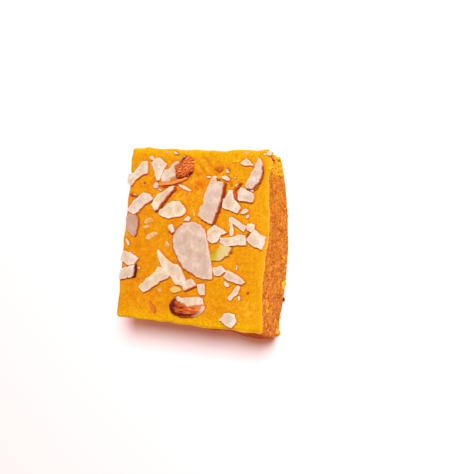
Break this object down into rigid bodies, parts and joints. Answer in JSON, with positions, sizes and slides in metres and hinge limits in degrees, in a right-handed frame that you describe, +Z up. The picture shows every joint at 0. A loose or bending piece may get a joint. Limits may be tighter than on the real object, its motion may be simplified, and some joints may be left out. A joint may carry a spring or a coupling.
{
  "type": "barfi",
  "caption": "Square piece of bright orange barfi with cut almonds and a pistachio pressed into its upper face.",
  "frame": {"origin": "middle of the flat underside", "axes": "+X across the piece, +Y along its longer side, +Z up out of the nut face"},
  "size_m": [0.0527, 0.0585, 0.0183],
  "materials": {
    "paste": "moist, finely grained milk and pumpkin-orange paste, satin on the face and grainy on the cut sides",
    "almond": "matt cream almond flesh",
    "almond_skin": "matt ridged brown almond skin"
  },
  "bodies": {
    "root": {"barfi": "paste", "almond_slice": "almond", "almond_blade_upper": "almond", "almond_kernel_upper": "almond_skin", "almond_blade_edge": "almond", "almond_blade_left": "almond", "almond_blade_middle": "almond", "almond_half_round": "almond", "almond_crescent": "almond", "almond_limb_long": "almond", "almond_limb_short": "almond", "almond_half_kernel": "almond_skin"}
  },
  "joints": []
}
